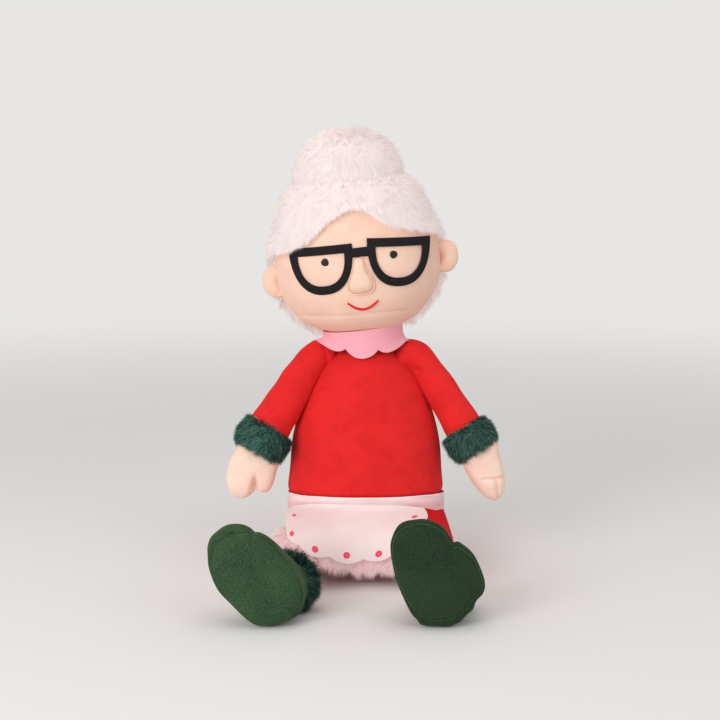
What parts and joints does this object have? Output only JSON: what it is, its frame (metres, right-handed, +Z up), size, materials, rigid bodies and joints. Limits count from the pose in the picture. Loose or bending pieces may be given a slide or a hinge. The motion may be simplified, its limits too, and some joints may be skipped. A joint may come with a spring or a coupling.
{
  "type": "plush doll",
  "caption": "Seated stuffed grandmother doll with a white hair bun, black felt glasses, red dress, white dotted apron and green shoes; its head, arms and legs turn at their seams.",
  "frame": {"origin": "middle of the flat panel under the seat, on the surface that the doll sits on", "axes": "+Z up through the body, the face looks along -Y, +X to the viewer's right. Left and right in names are the viewer's."},
  "size_m": [0.2472, 0.2787, 0.3965],
  "materials": {
    "dress_knit": "matte",
    "skirt_cloth": "matte",
    "lining_cloth": "matte",
    "skin_knit": "matte",
    "hand_knit": "matte",
    "hair_fur": "matte",
    "black_felt": "matte",
    "black_thread": "satin",
    "red_thread": "satin",
    "pink_felt": "matte",
    "cuff_fur": "matte",
    "hem_fur": "matte",
    "tights_knit": "matte",
    "shoe_plush": "matte",
    "sole_plush": "matte",
    "apron_cloth": "matte",
    "ribbon_satin": "satin"
  },
  "bodies": {
    "torso": {"torso": "dress_knit", "seat_body": "dress_knit", "pellet_bag": "lining_cloth", "base_panel": "dress_knit", "collar": "pink_felt", "skirt": "skirt_cloth", "hem_trim": "hem_fur", "apron": "apron_cloth", "waist_ribbon": "ribbon_satin"},
    "neck": {"neck": "skin_knit"},
    "head": {"head": "skin_knit", "hair_cap": "hair_fur", "hair_bun": "hair_fur", "ear_left": "skin_knit", "ear_right": "skin_knit", "glasses": "black_felt", "nose": "skin_knit", "eye_left": "black_thread", "eye_right": "black_thread", "mouth": "red_thread"},
    "arm_left": {"sleeve_left": "dress_knit", "cuff_left": "cuff_fur", "hand_left": "hand_knit"},
    "arm_right": {"sleeve_right": "dress_knit", "cuff_right": "cuff_fur", "hand_right": "hand_knit"},
    "leg_left": {"leg_left": "tights_knit", "ankle_cuff_left": "cuff_fur", "shoe_left": "shoe_plush", "sole_left": "sole_plush"},
    "leg_right": {"leg_right": "tights_knit", "ankle_cuff_right": "cuff_fur", "shoe_right": "shoe_plush", "sole_right": "sole_plush"}
  },
  "joints": [
    {"name": "neck_nod", "type": "hinge", "parent": "torso", "child": "neck", "pos_m": [0, 0.00499, 0.207], "axis": [1, 0, 0], "range_deg": [-14, 14], "stiffness_Nm_per_rad": 0.6, "deforming": ["collar"]},
    {"name": "head_turn", "type": "hinge", "parent": "neck", "child": "head", "pos_m": [0, 0.00499, 0.207], "axis": [-0.1132, 0, 0.9936], "range_deg": [-70, 70], "stiffness_Nm_per_rad": 0.2, "deforming": ["collar"]},
    {"name": "shoulder_left", "type": "hinge", "parent": "torso", "child": "arm_left", "pos_m": [-0.046, 0.00413, 0.193], "axis": [-1, 0, 0], "range_deg": [-40, 110], "stiffness_Nm_per_rad": 0.05},
    {"name": "shoulder_right", "type": "hinge", "parent": "torso", "child": "arm_right", "pos_m": [0.046, 0.00413, 0.193], "axis": [-1, 0, 0], "range_deg": [-40, 110], "stiffness_Nm_per_rad": 0.05},
    {"name": "hip_left", "type": "hinge", "parent": "torso", "child": "leg_left", "pos_m": [-0.052, -0.046, 0.02], "axis": [1, 0, 0], "range_deg": [-25, 85], "stiffness_Nm_per_rad": 0.03, "deforming": ["skirt", "hem_trim", "apron"]},
    {"name": "hip_right", "type": "hinge", "parent": "torso", "child": "leg_right", "pos_m": [0.052, -0.046, 0.02], "axis": [1, 0, 0], "range_deg": [-25, 85], "stiffness_Nm_per_rad": 0.03, "deforming": ["skirt", "hem_trim", "apron"]}
  ]
}
